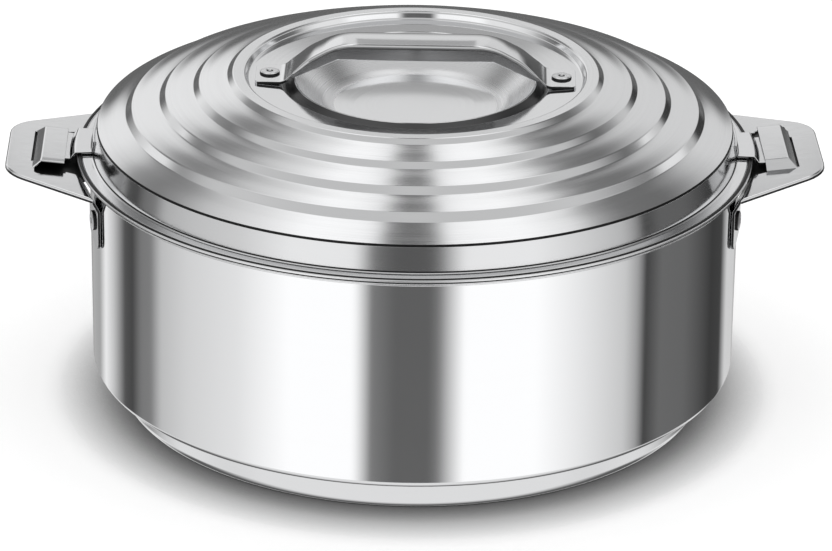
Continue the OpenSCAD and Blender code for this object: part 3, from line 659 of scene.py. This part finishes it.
# Contact shadow close round the foot
contact = n.add("ShaderNodeAmbientOcclusion", samples=12)
contact.inputs["Distance"].default_value = 0.026
open_sky = n.math("POWER", contact.outputs["AO"], 1.25)
matte = n.add("ShaderNodeBsdfDiffuse")
tone = n.add("ShaderNodeCombineColor")
for k in range(3):
    n.link(n.times(open_sky, 0.8), tone.inputs[k])
n.link(tone.outputs[0], matte.inputs["Color"])
glow = n.add("ShaderNodeEmission")
glow.inputs["Color"].default_value = (1, 1, 1, 1)
n.link(n.times(ray.outputs["Is Camera Ray"], n.times(open_sky, 0.34)),
       glow.inputs["Strength"])
both = n.add("ShaderNodeAddShader")
n.link(matte.outputs[0], both.inputs[0])
n.link(glow.outputs[0], both.inputs[1])
clear = n.add("ShaderNodeBsdfTransparent")
mix = n.add("ShaderNodeMixShader")
n.link(ray.outputs["Is Glossy Ray"], mix.inputs[0])
n.link(both.outputs[0], mix.inputs[1])
n.link(clear.outputs[0], mix.inputs[2])
n.link(mix.outputs[0], mat.node_tree.nodes["Material Output"].inputs["Surface"])
plane.materials.append(mat)

# studio
VIEW_TURN, VIEW_Y = 1.7, 0.916
world = bpy.data.worlds.new("studio")
bpy.context.scene.world = world
world.use_nodes = True
n = Nodes(world.node_tree)
place = n.add("ShaderNodeTexCoord")
swing = n.add("ShaderNodeVectorRotate", rotation_type="Z_AXIS")
swing.inputs["Angle"].default_value = math.radians(VIEW_TURN)
split = n.add("ShaderNodeSeparateXYZ")
n.link(place.outputs["Generated"], swing.inputs["Vector"])
n.link(swing.outputs[0], split.inputs[0])
dx, dy, dz = split.outputs
# Upright light panels with dark gaps between them, spread round the stand
side = n.math("ARCTAN2", dx, n.math("SUBTRACT", VIEW_Y, dy))
side = n.math("ADD", n.times(side, 1 / math.pi), 0.5)


def patch(under, mask, level):
    """Paints a plain level over the light where the mask is 1."""
    node = n.add("ShaderNodeMix", data_type="RGBA")
    n.link(mask, node.inputs["Factor"])
    n.link(under, node.inputs["A"])
    node.inputs["B"].default_value = (level, level, level, 1)
    return node.outputs["Result"]


def deg(stops):
    """Ramp positions of stops whose azimuth is given in degrees."""
    return [(0.5 + a / 180, level) for a, level in stops]


# What upright walls see, low round the stand
low_panels = n.ramp(side, deg([
    (-89, 0.5), (-75, 0.4), (-71, 0.95), (-67, 0.65), (-62, 0.1), (-59, 0.07), (-56, 0.22),
    (-53, 0.24), (-50, 0.6), (-43, 0.76), (-32, 0.9), (-22, 1.2), (-10.2, 1.2), (-7, 0.22),
    (-3, 0.13), (3, 0.13), (4.6, 0.22), (9.2, 1.2), (22, 1.2), (34, 0.85), (40, 0.68), (43, 0.4),
    (45, 0.06), (49, 0.16), (56, 0.15), (66, 0.05), (71, 0.06), (75, 0.7), (89, 0.6)]))
# What the sloping bands of the lid see, higher up
high_panels = n.ramp(side, deg([
    (-89, 0.9), (-78, 0.9), (-70, 0.7), (-65, 0.3), (-57, 0.2), (-51, 0.3), (-44, 0.6),
    (-32, 0.85), (-22, 1.15), (-8, 1.1), (-5, 0.13), (4, 0.13), (7, 1.1), (22, 1.15),
    (33, 0.85), (38, 0.4), (44, 0.17), (56, 0.15), (62, 0.3), (68, 0.55), (76, 0.72), (89, 0.72)]))
# The skirt of the lid sees a little less light, and the base pan and bends a pale ground
dim = n.mapped(dz, -0.33, -0.15, 1, 0.78)
low_panels = patch(low_panels, n.mapped(dz, -0.5, -0.57, 0, 1), 0.86)
low_light = n.add("ShaderNodeMix", data_type="RGBA", blend_type="MULTIPLY")
low_light.inputs["Factor"].default_value = 1
n.link(low_panels, low_light.inputs["A"])
n.link(dim, low_light.inputs["B"])
panels = n.add("ShaderNodeMix", data_type="RGBA")
n.link(n.mapped(dz, -0.02, 0.14, 0, 1), panels.inputs["Factor"])
n.link(low_light.outputs["Result"], panels.inputs["A"])
n.link(high_panels, panels.inputs["B"])

# A wide soft panel overhead in front, and a strip light at each side
top = n.times(n.mapped(dz, 0.3, 0.62, 0, 1), n.mapped(dy, 0.35, 0.1, 0, 1))
light = patch(panels.outputs["Result"], top, 0.6)
across = n.math("ABSOLUTE", dx)
strip = n.times(n.mapped(across, 0.7, 0.78, 0, 1), n.mapped(dz, 0.1, 0.16, 0, 1))
light = patch(light, n.times(strip, n.mapped(dz, 0.34, 0.28, 0, 1)), 0.9)
# Low behind the stand: a pale wall with a grey soft edge above it, and a dark foot
narrow = n.mapped(across, 0.1, 0.16, 1, 0)
far = n.mapped(dy, 0.8, 0.86, 0, 1)
edge = n.math("SUBTRACT", 0.402, n.times(n.times(dx, dx), 60))
above = n.mapped(n.math("SUBTRACT", dz, edge), -0.003, 0.003, 0, 1)
above = n.times(above, n.mapped(dz, 0.375, 0.379, 0, 1))
above = n.times(above, n.mapped(across, 0.022, 0.028, 1, 0))
back_wall = n.times(narrow, far)
light = patch(light, back_wall, 0.76)
light = patch(light, n.times(back_wall, above), 0.4)
foot = n.times(n.mapped(dy, 0.88, 0.93, 0, 1), n.mapped(dz, 0.25, 0.14, 0, 1))
light = patch(light, foot, 0.13)
# Under the pot: the dark gap above the table
under = n.times(n.mapped(dz, -0.6, -0.7, 0, 1), n.mapped(dy, -0.3, 0.25, 0, 1))
light = patch(light, under, 0.12)
# Dark uprights at both far corners
for sign, inner, outer, level in ((1, 0.34, 0.6, 0.04), (-1, 0.34, 0.47, 0.14)):
    sided = n.times(dx, sign)
    band = n.times(n.mapped(sided, inner, inner + 0.08, 0, 1),
                   n.mapped(sided, outer, outer + 0.1, 1, 0))
    band = n.times(band, n.mapped(dy, 0.65, 0.78, 0, 1))
    band = n.times(band, n.mapped(dz, 0.28, 0.1, 0, 1))
    band = n.times(band, n.mapped(dz, -0.385, -0.33, 0, 1))
    light = patch(light, band, level)
studio = n.add("ShaderNodeBackground")
n.link(light, studio.inputs["Color"])
studio.inputs["Strength"].default_value = 1
# Only reflections see the panels
ray = n.add("ShaderNodeLightPath")
plain = n.add("ShaderNodeBackground")
plain.inputs["Color"].default_value = (1, 1, 1, 1)
plain.inputs["Strength"].default_value = 1
mix = n.add("ShaderNodeMixShader")
n.link(ray.outputs["Is Glossy Ray"], mix.inputs[0])
n.link(plain.outputs[0], mix.inputs[1])
n.link(studio.outputs[0], mix.inputs[2])
n.link(mix.outputs[0], world.node_tree.nodes["World Output"].inputs["Surface"])

# camera, fitted to the rims and steps: angles in radians, lengths in metres, then in pixels
TILT, ROLL, REACH, AIM, ASIDE = 0.412124, 0.0122334, 1.740009, 0.045457, 0.001972
FOCAL_PX, WIDTH_PX, HEIGHT_PX, MIDDLE_X_PX, MIDDLE_Y_PX = 4404.93, 832, 551, 418.278, 275.513
turn = Matrix.Rotation(math.radians(-VIEW_TURN), 3, "Z")
place = turn @ Vector((ASIDE, -REACH * math.cos(TILT), AIM + REACH * math.sin(TILT)))
ahead = turn @ Vector((0, math.cos(TILT), -math.sin(TILT)))
right = turn @ Vector((1, 0, 0))
up = right.cross(ahead)
r = right * math.cos(ROLL) + up * math.sin(ROLL)
u = up * math.cos(ROLL) - right * math.sin(ROLL)
data = bpy.data.cameras.new("camera")
data.sensor_width = 36
data.lens = FOCAL_PX * data.sensor_width / WIDTH_PX
data.shift_x = (WIDTH_PX / 2 - MIDDLE_X_PX) / WIDTH_PX
data.shift_y = -(HEIGHT_PX / 2 - MIDDLE_Y_PX) / WIDTH_PX
data.clip_start, data.clip_end = 0.1, 30
cam = bpy.data.objects.new("camera", data)
bpy.context.scene.collection.objects.link(cam)
basis = Matrix((r, u, -ahead)).transposed()
cam.matrix_world = Matrix.Translation(place) @ basis.to_4x4()
bpy.context.scene.camera = cam

bpy.context.scene.view_settings.view_transform = "Standard"
